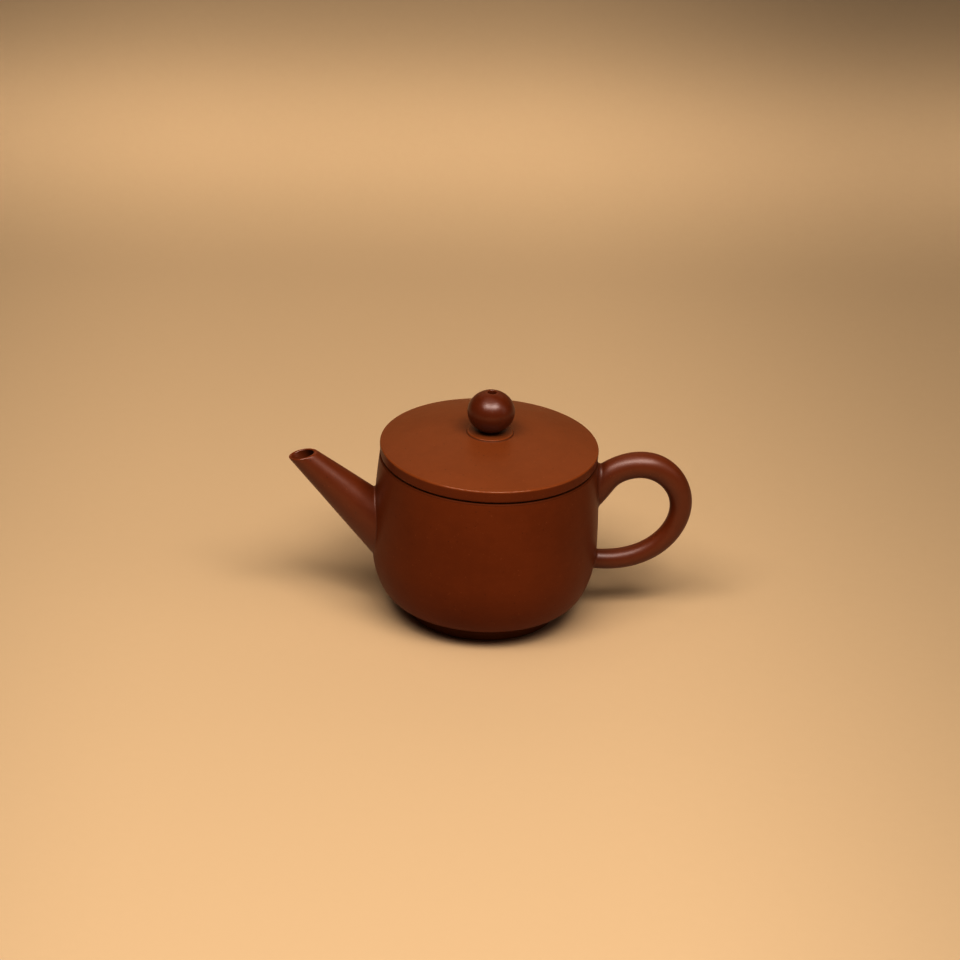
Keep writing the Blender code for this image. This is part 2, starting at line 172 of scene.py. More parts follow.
def crossing(function, low, high):
    positive = function(high) > 0
    for _ in range(44):
        mid = (low + high) / 2
        if (function(mid) > 0) == positive:
            high = mid
        else:
            low = mid
    return (low + high) / 2


def lid_top(r):
    arc = (LID_R**2 + LID_CROWN**2) / (2 * LID_CROWN)
    return LID_EDGE_Z + LID_CROWN - (arc - math.sqrt(arc**2 - r * r))


def spline(cage, u):
    last = len(cage) - 3
    knots = [0] * 3 + list(range(last + 1)) + [last] * 3
    t = min(max(u, 0.0), 1.0) * last
    span = min(int(t), last - 1) + 3
    work = [list(cage[span - 3 + j]) for j in range(4)]
    for level in range(1, 4):
        for j in range(3, level - 1, -1):
            low = knots[j + span - 3]
            share = (t - low) / (knots[j + 1 + span - level] - low)
            work[j] = [(1 - share) * a + share * b for a, b in zip(work[j - 1], work[j])]
    return work[3]


# ---------------------------------------------------------------- mesh helpers
def rounded(corners, steps=6):
    """A closed outline from (r, z, rounding) corners, each corner eased by its own rounding."""
    out = []
    count = len(corners)
    for i, (r, z, ease) in enumerate(corners):
        p = Vector((r, z))
        if ease <= 0:
            out.append((r, z))
            continue
        a = Vector(corners[i - 1][:2]) - p
        b = Vector(corners[(i + 1) % count][:2]) - p
        reach_a = min(ease, 0.49 * a.length)
        reach_b = min(ease, 0.49 * b.length)
        start, end = p + a.normalized() * reach_a, p + b.normalized() * reach_b
        for k in range(steps + 1):
            s = k / steps
            q = start * (1 - s) ** 2 + p * (2 * s * (1 - s)) + end * s * s
            out.append((q.x, q.y))
    clean = []
    for q in out:
        if not clean or math.dist(q, clean[-1]) > 1e-4:
            clean.append(q)
    if math.dist(clean[0], clean[-1]) < 1e-4:
        clean.pop()
    return clean


def subdivide_long(outline, longest, closed=True):
    """Adds points on the straight runs, so that a long face doesn't shade oddly."""
    out = []
    count = len(outline)
    for i in range(count):
        a = outline[i]
        out.append(a)
        if i == count - 1 and not closed:
            break
        b = outline[(i + 1) % count]
        parts = int(math.dist(a, b) / longest)
        for k in range(1, parts + 1):
            s = k / (parts + 1)
            out.append((a[0] + (b[0] - a[0]) * s, a[1] + (b[1] - a[1]) * s))
    return out


def outline_edges(outline):
    """How sharply the outline turns at each point: positive on an outer edge, negative in a crease."""
    count = len(outline)
    area = sum(
        outline[i][0] * outline[(i + 1) % count][1]
        - outline[(i + 1) % count][0] * outline[i][1]
        for i in range(count)
    )
    sign = 1 if area > 0 else -1
    raw = []
    for i in range(count):
        a, p, b = (Vector(outline[j % count]) for j in (i - 1, i, i + 1))
        u, v = p - a, b - p
        turn = math.atan2(u.x * v.y - u.y * v.x, u.dot(v))
        raw.append(sign * turn / max(1e-3, (u.length + v.length) / 2))
    return [
        max(-1.0, min(1.0, (raw[i - 1] + 2 * raw[i] + raw[(i + 1) % count]) / 4 * 0.45))
        for i in range(count)
    ]


def finish_mesh(name, bm, edges, body, nodes, materials, zone=None):
    """Writes a bmesh in millimetres as a piece in metres, smooth, with its edge attribute."""
    bmesh.ops.recalc_face_normals(bm, faces=bm.faces)
    mesh = bpy.data.meshes.new(name)
    bm.verts.ensure_lookup_table()
    values = [edges.get(v.index, 0.0) for v in bm.verts] if edges else None
    if zone:
        for face in bm.faces:
            face.material_index = zone(face.calc_center_median(), face.normal)
    bmesh.ops.scale(bm, vec=(MM, MM, MM), verts=bm.verts)
    bm.to_mesh(mesh)
    bm.free()
    attribute = mesh.attributes.new("edge", "FLOAT", "POINT")
    if values:
        attribute.data.foreach_set("value", values)
    for material in materials:
        mesh.materials.append(material)
    mesh.shade_smooth()
    mesh.set_sharp_from_angle(angle=math.radians(50))
    obj = bpy.data.objects.new(name, mesh)
    obj.location.x = AXIS_X * MM
    bpy.context.scene.collection.objects.link(obj)
    if body:
        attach(obj, body)
        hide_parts(*nodes)
    return obj


def revolve(outline, divisions=ROUND, wobble=None):
    """A bmesh turned about Z from a closed outline, and the edge value of each vertex."""
    bm = bmesh.new()
    values = outline_edges(outline)
    edges = {}
    poles = {}
    rings = []
    index = 0
    for k in range(divisions):
        angle = 2 * math.pi * k / divisions
        ring = []
        for i, (r, z) in enumerate(outline):
            if r < 1e-6:
                if i not in poles:
                    poles[i] = bm.verts.new((0, 0, z))
                    edges[index] = values[i]
                    index += 1
                ring.append(poles[i])
                continue
            shift = wobble(angle, r, z) if wobble else 0.0
            ring.append(
                bm.verts.new(
                    ((r + shift) * math.cos(angle), (r + shift) * math.sin(angle), z)
                )
            )
            edges[index] = values[i]
            index += 1
        rings.append(ring)
    count = len(outline)
    for k in range(divisions):
        here, there = rings[k], rings[(k + 1) % divisions]
        for i in range(count):
            j = (i + 1) % count
            corners = []
            for v in (here[i], here[j], there[j], there[i]):
                if v not in corners:
                    corners.append(v)
            if len(corners) > 2:
                bm.faces.new(corners)
    bm.verts.index_update()
    return bm, edges


def grid(columns, values, cap_ends=False):
    """A bmesh from columns of points round a tube. Without caps the columns are closed loops."""
    bm = bmesh.new()
    edges = {}
    made = []
    index = 0
    for column, value in zip(columns, values):
        row = []
        for point, v in zip(column, value):
            row.append(bm.verts.new(point))
            edges[index] = v
            index += 1
        made.append(row)
    count, length = len(made), len(made[0])
    for k in range(count):
        n = (k + 1) % count
        for i in range(length if not cap_ends else length - 1):
            j = (i + 1) % length
            bm.faces.new((made[k][i], made[k][j], made[n][j], made[n][i]))
    if cap_ends:
        for i in (0, length - 1):
            rim = [row[i] for row in made]
            middle = bm.verts.new(sum((v.co for v in rim), Vector()) / count)
            edges[index] = 0.0
            index += 1
            for k in range(count):
                bm.faces.new((rim[k], rim[(k + 1) % count], middle))
    bm.verts.index_update()
    return bm, edges


def cut_away(obj, bm):
    """Cuts a bmesh's solid, in millimetres, out of a piece for good."""
    bmesh.ops.recalc_face_normals(bm, faces=bm.faces)
    bmesh.ops.scale(bm, vec=(MM, MM, MM), verts=bm.verts)
    mesh = bpy.data.meshes.new("cut")
    bm.to_mesh(mesh)
    bm.free()
    cutter = bpy.data.objects.new("cut", mesh)
    cutter.location.x = AXIS_X * MM
    bpy.context.scene.collection.objects.link(cutter)
    modifier = obj.modifiers.new("cut", "BOOLEAN")
    modifier.operation = "DIFFERENCE"
    modifier.solver = "EXACT"
    modifier.object = cutter
    graph = bpy.context.evaluated_depsgraph_get()
    result = bpy.data.meshes.new_from_object(obj.evaluated_get(graph))
    obj.modifiers.clear()
    old = obj.data
    obj.data = result
    bpy.data.meshes.remove(old)
    bpy.data.objects.remove(cutter)
    bpy.data.meshes.remove(mesh)
    result.shade_smooth()
    result.set_sharp_from_angle(angle=math.radians(40))


def prism(ends):
    """A bmesh from two matching loops."""
    bm = bmesh.new()
    loops = [[bm.verts.new(p) for p in end] for end in ends]
    count = len(loops[0])
    bm.faces.new(loops[0][::-1])
    bm.faces.new(loops[1])
    for k in range(count):
        n = (k + 1) % count
        bm.faces.new((loops[0][k], loops[0][n], loops[1][n], loops[1][k]))
    return bm


def hand(angle, r, z, amount=0.05, seed=0.0):
    """The slight unevenness of a surface that was beaten and scraped by hand."""
    p = Vector((math.cos(angle) * 1.6, math.sin(angle) * 1.6, z / 26.0 + seed))
    q = Vector((math.cos(angle) * 4.2, math.sin(angle) * 4.2, z / 9.0 + seed + 7.3))
    return amount * (noise.noise(p) + 0.45 * noise.noise(q))


# ---------------------------------------------------------------- materials
def node(tree, kind, x=0, y=0, **settings):
    made = tree.nodes.new(kind)
    made.location = (x, y)
    for key, value in settings.items():
        setattr(made, key, value)
    return made


def math_node(tree, operation, a, b=None, c=None, clamp=False):
    made = tree.nodes.new("ShaderNodeMath")
    made.operation = operation
    made.use_clamp = clamp
    for i, value in enumerate((a, b, c)):
        if value is None:
            continue
        if isinstance(value, (int, float)):
            made.inputs[i].default_value = value
        else:
            tree.links.new(value, made.inputs[i])
    return made.outputs[0]


def mix_colour(tree, share, a, b, blend="MIX"):
    made = tree.nodes.new("ShaderNodeMix")
    made.data_type = "RGBA"
    made.blend_type = blend
    made.clamp_factor = True
    for socket, value in ((made.inputs[0], share), (made.inputs[6], a), (made.inputs[7], b)):
        if isinstance(value, (int, float)):
            socket.default_value = value
        elif isinstance(value, tuple):
            socket.default_value = value
        else:
            tree.links.new(value, socket)
    return made.outputs[2]


def ramp(tree, value, low, high):
    """0 at low, 1 at high, smooth between."""
    made = tree.nodes.new("ShaderNodeMapRange")
    made.interpolation_type = "SMOOTHSTEP"
    made.inputs[1].default_value = low
    made.inputs[2].default_value = high
    tree.links.new(value, made.inputs[0])
    return made.outputs[0]


def noise_node(tree, vector, scale, detail=3.0, roughness=0.55, distortion=0.0):
    made = tree.nodes.new("ShaderNodeTexNoise")
    made.inputs["Scale"].default_value = scale
    made.inputs["Detail"].default_value = detail
    made.inputs["Roughness"].default_value = roughness
    made.inputs["Distortion"].default_value = distortion
    tree.links.new(vector, made.inputs["Vector"])
    return made.outputs[0]


def clay(
    name,
    dark,
    light,
    fleck=(0.30, 0.115, 0.045),
    roughness=(0.36, 0.47),
    specular=0.3,
    grain=1.0,
    strokes=None,
    stroke_depth=1.0,
    stain=0.0,
):
    """Fired zisha clay: fine mixed sand in a satin body, with the marks of the scraper and of polishing.

    strokes: "round" for marks that run round the pot's axis, "long" for marks along a piece, or None.
    """
    material = bpy.data.materials.new(name)
    material.use_nodes = True
    tree = material.node_tree
    shader = tree.nodes["Principled BSDF"]
    coords = node(tree, "ShaderNodeTexCoord", -1600, 0)
    place = coords.outputs["Object"]
    edge = node(tree, "ShaderNodeAttribute", -1600, 400, attribute_name="edge")
    edge_value = edge.outputs["Fac"]

    patina = noise_node(tree, place, 38.0, 3.0, 0.5, 0.3)
    mottle = noise_node(tree, place, 310.0, 4.0, 0.6)
    sand = noise_node(tree, place, 2300.0, 3.0, 0.65)
    fine = noise_node(tree, place, 5200.0, 2.0, 0.6)

    # strokes of the scraper: noise drawn out along the way the tool went
    if strokes:
        split = node(tree, "ShaderNodeSeparateXYZ", -1400, -400)
        tree.links.new(place, split.inputs[0])
        join = node(tree, "ShaderNodeCombineXYZ", -1000, -400)
        if strokes == "round":
            turn = math_node(tree, "ARCTAN2", split.outputs[1], split.outputs[0])
            reach = math_node(
                tree,
                "SQRT",
                math_node(
                    tree,
                    "ADD",
                    math_node(tree, "MULTIPLY", split.outputs[0], split.outputs[0]),
                    math_node(tree, "MULTIPLY", split.outputs[1], split.outputs[1]),
                ),
            )
            tree.links.new(math_node(tree, "MULTIPLY", math_node(tree, "COSINE", turn), 0.0032), join.inputs[0])
            tree.links.new(math_node(tree, "MULTIPLY", math_node(tree, "SINE", turn), 0.0032), join.inputs[1])
            tree.links.new(math_node(tree, "ADD", split.outputs[2], reach), join.inputs[2])
        else:
            tree.links.new(math_node(tree, "MULTIPLY", split.outputs[0], 0.12), join.inputs[0])
            tree.links.new(split.outputs[1], join.inputs[1])
            tree.links.new(math_node(tree, "MULTIPLY", split.outputs[2], 0.12), join.inputs[2])
        stroke = noise_node(tree, join.outputs[0], 900.0, 3.0, 0.5)
    else:
        stroke = mottle

    # colour: two firings of the same clay, mottled, with pale and dark sand in it
    share = math_node(
        tree,
        "ADD",
        math_node(tree, "MULTIPLY", patina, 0.62),
        math_node(
            tree,
            "ADD",
            math_node(tree, "MULTIPLY", mottle, 0.28),
            math_node(tree, "MULTIPLY", stroke, 0.14),
        ),
    )
    colour = mix_colour(tree, ramp(tree, share, 0.34, 0.70), dark + (1,), light + (1,))
    colour = mix_colour(
        tree,
        math_node(tree, "MULTIPLY", ramp(tree, sand, 0.60, 0.78), 0.42 * grain),
        colour,
        fleck + (1,),
    )
    cells = node(tree, "ShaderNodeTexVoronoi", -1200, -700)
    cells.inputs["Scale"].default_value = 760.0
    cells.inputs["Randomness"].default_value = 1.0
    tree.links.new(place, cells.inputs["Vector"])
    picked = node(tree, "ShaderNodeSeparateColor", -1000, -700)
    tree.links.new(cells.outputs["Color"], picked.inputs[0])
    # a few of the cells hold a grain: a dark iron speck, or a pale one
    size = math_node(tree, "SUBTRACT", 1.0, ramp(tree, cells.outputs["Distance"], 0.10, 0.22))
    iron = math_node(tree, "MULTIPLY", size, ramp(tree, picked.outputs[0], 0.86, 0.90))
    pale = math_node(tree, "MULTIPLY", size, ramp(tree, picked.outputs[1], 0.84, 0.88))
    colour = mix_colour(
        tree,
        math_node(tree, "MULTIPLY", iron, 0.45 * grain),
        colour,
        tuple(c * 0.35 for c in dark) + (1,),
    )
    colour = mix_colour(
        tree,
        math_node(tree, "MULTIPLY", pale, 0.16 * grain),
        colour,
        tuple(min(1, c * 1.5) for c in fleck) + (1,),
    )
    # edges are painted a little paler, partly as wear and partly as a painted highlight; creases are painted darker,
    # as painted shade
    edge_wear_and_highlight = math_node(
        tree,
        "MULTIPLY",
        ramp(tree, edge_value, 0.08, 0.55),
        math_node(tree, "ADD", 0.45, math_node(tree, "MULTIPLY", mottle, 0.5)),
    )
    # painted highlight and wear: sharp outer edges are painted a paler clay
    colour = mix_colour(
        tree, math_node(tree, "MULTIPLY", edge_wear_and_highlight, 0.5), colour, tuple(c * 1.3 for c in light) + (1,)
    )
    # painted shade: creases, joints and the seam under the lid are painted darker
    crease = ramp(tree, math_node(tree, "MULTIPLY", edge_value, -1.0), 0.05, 0.6)
    colour = mix_colour(
        tree, math_node(tree, "MULTIPLY", crease, 0.6), colour, tuple(c * 0.55 for c in dark) + (1,)
    )
    if stain:
        tea = ramp(tree, noise_node(tree, place, 75.0, 5.0, 0.6, 0.6), 0.35, 0.72)
        colour = mix_colour(
            tree, math_node(tree, "MULTIPLY", tea, stain), colour, (0.035, 0.014, 0.006, 1)
        )
    tree.links.new(colour, shader.inputs["Base Color"])

    # gloss: polished high spots, duller in the creases and where the sand shows
    low, high = roughness
    gloss = math_node(
        tree,
        "ADD",
        math_node(tree, "MULTIPLY", patina, 0.45),
        math_node(
            tree,
            "ADD",
            math_node(tree, "MULTIPLY", stroke, 0.30),
            math_node(tree, "MULTIPLY", sand, 0.25),
        ),
    )
    rough = node(tree, "ShaderNodeMapRange", -200, -200)
    rough.inputs[1].default_value = 0.32
    rough.inputs[2].default_value = 0.68
    rough.inputs[3].default_value = low
    rough.inputs[4].default_value = high
    tree.links.new(gloss, rough.inputs[0])
    total = math_node(
        tree,
        "ADD",
        rough.outputs[0],
        math_node(
            tree,
            "SUBTRACT",
            math_node(tree, "MULTIPLY", crease, 0.18),
            math_node(tree, "MULTIPLY", edge_wear_and_highlight, 0.32),
        ),
        clamp=True,
    )
    tree.links.new(total, shader.inputs["Roughness"])
    shader.inputs["Specular IOR Level"].default_value = specular
    shader.inputs["Metallic"].default_value = 0.0
    shader.inputs["IOR"].default_value = 1.5

    # relief: sand under the polish, soft hollows of the paddle, and the scraper's strokes
    relief = math_node(
        tree,
        "ADD",
        math_node(tree, "MULTIPLY", sand, 0.55 * grain),
        math_node(
            tree,
            "ADD",
            math_node(tree, "MULTIPLY", fine, 0.35 * grain),
            math_node(tree, "MULTIPLY", pale, 0.35 * grain),
        ),
    )
    small = node(tree, "ShaderNodeBump", 0, -500)
    small.inputs["Strength"].default_value = 0.55
    small.inputs["Distance"].default_value = 0.000035
    tree.links.new(relief, small.inputs["Height"])
    tooled = node(tree, "ShaderNodeBump", 0, -700)
    tooled.inputs["Strength"].default_value = 0.5
    tooled.inputs["Distance"].default_value = 0.00006 * stroke_depth
    tree.links.new(stroke, tooled.inputs["Height"])
    beaten = node(tree, "ShaderNodeBump", 0, -900)
    beaten.inputs["Strength"].default_value = 0.5
    beaten.inputs["Distance"].default_value = 0.0002
    tree.links.new(noise_node(tree, place, 130.0, 2.0, 0.5), beaten.inputs["Height"])
    tree.links.new(beaten.outputs[0], tooled.inputs["Normal"])
    tree.links.new(tooled.outputs[0], small.inputs["Normal"])
    tree.links.new(small.outputs[0], shader.inputs["Normal"])
    return material


def studio_material(name, colour, roughness):
    material = bpy.data.materials.new(name)
    material.use_nodes = True
    shader = material.node_tree.nodes["Principled BSDF"]
    shader.inputs["Base Color"].default_value = colour
    shader.inputs["Roughness"].default_value = roughness
    shader.inputs["Specular IOR Level"].default_value = 0.2
    return material


# body and lid are one clay in two brightnesses: the lid's lighter copy is painted light on its upward top, the body's
# darker one painted shade on the upright walls
DARK = (0.152, 0.0352, 0.0048)
LIGHT = (0.177, 0.0424, 0.0064)
ARM_DARK = (0.140, 0.0300, 0.0036)
ARM_LIGHT = (0.162, 0.0362, 0.0050)
LID_LIT_DARK = (0.191, 0.0560, 0.0122)
LID_LIT_LIGHT = (0.216, 0.0645, 0.0146)

clay_body = clay("clay_body", DARK, LIGHT, strokes="round", roughness=(0.34, 0.43), specular=0.14)
clay_spout = clay("clay_spout", ARM_DARK, ARM_LIGHT, strokes="long", roughness=(0.35, 0.43), specular=0.68)
clay_handle = clay("clay_handle", ARM_DARK, ARM_LIGHT, strokes="long", roughness=(0.35, 0.43), specular=0.68)
clay_lid_lit = clay("clay_lid_lit", LID_LIT_DARK, LID_LIT_LIGHT, strokes="round", roughness=(0.34, 0.43), specular=0.36)
# painted shade: the knob's clay is a darker copy of the body's clay
clay_knob_shaded = clay("clay_knob_shaded", (0.118, 0.0225, 0.0024), (0.134, 0.0275, 0.0034), roughness=(0.28, 0.34), specular=0.64)
clay_inside = clay(
    "clay_inside",
    (0.105, 0.0300, 0.0110),
    (0.165, 0.0520, 0.0210),
    strokes="round",
    roughness=(0.62, 0.80),
    specular=0.2,
    grain=1.6,
    stroke_depth=3.0,
    stain=0.35,
)
clay_raw = clay(
    "clay_raw",
    (0.150, 0.0420, 0.0150),
    (0.225, 0.0680, 0.0270),
    strokes="round",
    roughness=(0.60, 0.78),
    specular=0.22,
    grain=1.5,
    stroke_depth=2.2,
)

# ---------------------------------------------------------------- body wall
outer = []
for i in range(1, 60):
    z = RIM_Z - 0.2 + (BELLY_Z - RIM_Z + 0.2) * i / 60
    outer.append((body_radius(z), z))
for i in range(0, 57):
    outer.append(turned_point(CORNER * math.sin(math.pi / 2 * i / 56)))
inner = []
for i, (r, z) in enumerate(outer):
    a, b = outer[max(i - 1, 0)], outer[min(i + 1, len(outer) - 1)]
    length = math.dist(a, b)
    inner.append((r + WALL * (b[1] - a[1]) / length, z - WALL * (b[0] - a[0]) / length))
inner = [q for q in inner if q[1] < RIM_Z - 0.4][::3]
bottom_z = CORNER_Z - (CORNER_R - BOTTOM_R) * math.tan(UNDERSIDE)
rise = math.tan(UNDERSIDE)
inner_bottom = inner[-1][1] - (inner[-1][0] - BOTTOM_R) * rise
outline = (
    [(inner[0][0], RIM_Z, 0.2), (RIM_R, RIM_Z, 0.3)]
    + [(r, z, 0) for r, z in outer]
    + [(BOTTOM_R, bottom_z, 0.1), (BOTTOM_R, inner_bottom, 0.3)]
    + [(r, z, 0) for r, z in inner[::-1]]
)
outline = subdivide_long(rounded(outline), 1.6)


def body_unevenness(angle, r, z):
    fade = min(1.0, max(0.0, (51.0 - z) / 4.0)) * min(1.0, max(0.0, (z - 4.0) / 4.0))
    return hand(angle, r, z, 0.06) * fade


bm, edges = revolve(outline, ROUND, body_unevenness)
for v in bm.verts:
    if v.co.z > RIM_Z - 0.35:
        edges[v.index] = -0.5  # painted shade: the seam under the lid is painted dark


def body_zone(centre, normal):
    if centre.z > RIM_Z - 0.5:
        return 0
    return 1 if math.hypot(centre.x, centre.y) < body_radius(max(centre.z, 3.3)) - 0.6 else 0


body_wall = finish_mesh(
    "body_wall_clay", bm, edges, "pot", ["body_wall"], [clay_body, clay_inside], body_zone
)

along = Vector((-math.cos(SPOUT_RISE), 0, math.sin(SPOUT_RISE)))
up = Vector((math.sin(SPOUT_RISE), 0, math.cos(SPOUT_RISE)))
side = Vector((0, 1, 0))
tip = SPOUT_START + SPOUT_LENGTH * along


def ring_at(s, radius, count=48):
    return [
        SPOUT_START
        + s * along
        + radius
        * (
            math.cos(2 * math.pi * k / count) * up
            + math.sin(2 * math.pi * k / count) * side
        )
        for k in range(count)
    ]


cut_away(body_wall, prism([ring_at(-7, BORE_R - 0.3), ring_at(6, BORE_R - 0.3)]))

# ---------------------------------------------------------------- base, foot ring and mouth ring
outline = subdivide_long(
    rounded(
        [
            (0, BASE_TOP, 0),
            (BOTTOM_R + 0.35, BASE_TOP, 0.05),
            (BOTTOM_R + 0.35, BASE_Z + 0.45, 0.05),
            (BOTTOM_R - 0.1, BASE_Z, 0.05),
            (0, BASE_Z, 0),
        ]
    ),
    2.5,
)
bm, edges = revolve(outline, 160)
finish_mesh(
    "base_disc_clay",
    bm,
    edges,
    "pot",
    ["base_disc"],
    [clay_inside, clay_raw],
    lambda centre, normal: 1 if centre.z < 4.5 else 0,
)

outline = subdivide_long(
    rounded(
        [
            (FOOT_OUTER + 0.42, BASE_Z + 0.28, 0.05),
            (FOOT_OUTER + 0.02, BASE_Z - 0.35, 0.35),
            (FOOT_OUTER, 0, 0.5),
            (FOOT_INNER, 0, 0.5),
            (FOOT_INNER - 0.3, BASE_Z - 0.25, 0.4),
            (FOOT_INNER - 0.7, BASE_Z + 0.2, 0.05),
        ]
    ),
    0.8,
)
bm, edges = revolve(outline, ROUND)
finish_mesh(
    "foot_ring_clay",
    bm,
    edges,
    "pot",
    ["foot_ring"],
    [clay_body, clay_raw],
    lambda centre, normal: 1
    if centre.z < 0.12 or math.hypot(centre.x, centre.y) < 21.5
    else 0,
)

low = RIM_Z - MOUTH_DEPTH
outline = subdivide_long(
    rounded(
        [
            (inner[0][0] + 0.5, RIM_Z - 0.05, 0.02),
            (inner[0][0] + 0.5, low - 0.1, 0.02),
            (inner[0][0] - 0.2, low - 0.1, 0.2),
            (inner[0][0] - 0.9, low + 0.05, 0.3),
            (MOUTH_R, low, 0.45),
            (MOUTH_R, RIM_Z - 0.02, 0.45),
            (inner[0][0] - 0.9, RIM_Z - 0.02, 0.2),
        ]
    ),
    1.0,
)
bm, edges = revolve(outline, ROUND)
finish_mesh(
    "mouth_ring_clay",
    bm,
    edges,
    "pot",
    ["mouth_ring"],
    [clay_body, clay_inside],
    lambda centre, normal: 1 if centre.z < RIM_Z - 1.2 else 0,
)

# ---------------------------------------------------------------- luted joints
EASE_STEPS = 6


def luted(start, normal_tube, size):
    """The easing of slip between a tube's skin and the wall: points from the skin to just under the wall."""
    n = body_normal(start)
    m = normal_tube
    cosine = max(-0.86, min(0.95, n.dot(m)))
    radius = size * math.sqrt(1 + cosine)
    centre = start + (n + m) * (radius / (1 + cosine))
    arc = []
    total = math.acos(cosine)
    for k in range(EASE_STEPS + 1):
        s = k / EASE_STEPS
        if total < 1e-3:
            direction = m
        else:
            direction = (
                math.sin((1 - s) * total) * m + math.sin(s * total) * n
            ) / math.sin(total)
        arc.append(centre - radius * direction)
    return arc, n


def spout_point(s, angle, bore=False):
    if bore:
        radius = BORE_R + (BORE_MOUTH_R - BORE_R) * s / SPOUT_LENGTH
    else:
        radius = SPOUT_R + SPOUT_TAPER * s
    return SPOUT_START + s * along + radius * (math.cos(angle) * up + math.sin(angle) * side)


mouth_normal = Vector((-math.sin(SPOUT_TILT), 0, math.cos(SPOUT_TILT)))


def over_mouth(point):
    return (point - tip).dot(mouth_normal)


def make_spout(count=144, rings=46, bore_rings=24):
    columns, values = [], []
    for k in range(count):
        angle = 2 * math.pi * k / count
        e = math.cos(angle) * up + math.sin(angle) * side
        lean = math.atan(SPOUT_TAPER)
        m = (e * math.cos(lean) - along * math.sin(lean)).normalized()
        s0 = crossing(lambda s: outside(spout_point(s, angle)), -9, 14)
        arc, n = luted(spout_point(s0, angle), m, 0.75)
        s1 = s0 + (arc[0] - spout_point(s0, angle)).length / math.cos(lean)
        fix = spout_point(s1, angle) - arc[0]
        under = -outside(arc[-1]) - 0.01
        column, value = [], []
        column.append(arc[-1] + n * (under - 0.35))
        value.append(0.0)
        for i in range(EASE_STEPS, -1, -1):
            s = i / EASE_STEPS
            column.append(arc[i] + fix * (1 - s) + n * under * s * s)
            # painted shade: the joint's crease gets a negative edge value, which the clay paints darker
            value.append(-0.30 * math.sin(math.pi * min(1.0, max(0.0, s))) ** 0.7)
        s2 = crossing(lambda s: over_mouth(spout_point(s, angle)), 18, 42)
        b2 = crossing(lambda s: over_mouth(spout_point(s, angle, True)), 18, 42)
        lip = 0.42
        end_outer, end_bore = spout_point(s2 - lip, angle), spout_point(b2 - lip, angle, True)
        for i in range(1, rings + 1):
            s = s1 + (s2 - lip - s1) * i / rings
            p = spout_point(s, angle)
            fade = min(1.0, (i / rings) * 6, (1 - i / rings) * 4)
            wave = noise.noise(Vector((math.cos(angle) * 1.3, math.sin(angle) * 1.3, s / 11.0)))
            column.append(p + e * 0.05 * wave * fade)
            value.append(0.0)
        top_outer, top_bore = spout_point(s2, angle), spout_point(b2, angle, True)
        for i in range(1, 12):
            turn = math.pi * i / 12
            middle = (end_outer + end_bore) / 2
            half = (end_outer - end_bore) / 2
            crest = (top_outer + top_bore) / 2 - middle
            column.append(middle + half * math.cos(turn) + crest * math.sin(turn))
            value.append(0.75 * math.sin(turn))
        column.append(end_bore)
        value.append(0.1)
        b0 = crossing(lambda s: outside(spout_point(s, angle, True)) + 0.12, -9, 14)
        for i in range(1, bore_rings + 1):
            s = (b2 - lip) + (b0 - b2 + lip) * i / bore_rings
            column.append(spout_point(s, angle, True))
            value.append(-0.1)
        columns.append(column)
        values.append(value)
    bm, edges = grid(columns, values)

    def zone(centre, normal):
        offset = centre - SPOUT_START
        s = offset.dot(along)
        distance = (offset - s * along).length
        skin = SPOUT_R + SPOUT_TAPER * s
        bore = BORE_R + (BORE_MOUTH_R - BORE_R) * s / SPOUT_LENGTH
        return 1 if distance < bore + 0.12 and s < SPOUT_LENGTH - 6 else 0

    return finish_mesh(
        "spout_clay_tube", bm, edges, "pot", ["spout"], [clay_spout, clay_inside], zone
    )


make_spout()


def handle_point(u, angle):
    r, z, radius = spline(HANDLE_CAGE, u)
    step = 1e-4
    r0, z0, _ = spline(HANDLE_CAGE, max(0.0, u - step))
    r1, z1, _ = spline(HANDLE_CAGE, min(1.0, u + step))
    tangent = Vector((r1 - r0, 0, z1 - z0)).normalized()
    outward = Vector((-tangent.z, 0, tangent.x))
    e = math.cos(angle) * outward + math.sin(angle) * side
    return Vector((r, 0, z)) + radius * e, e


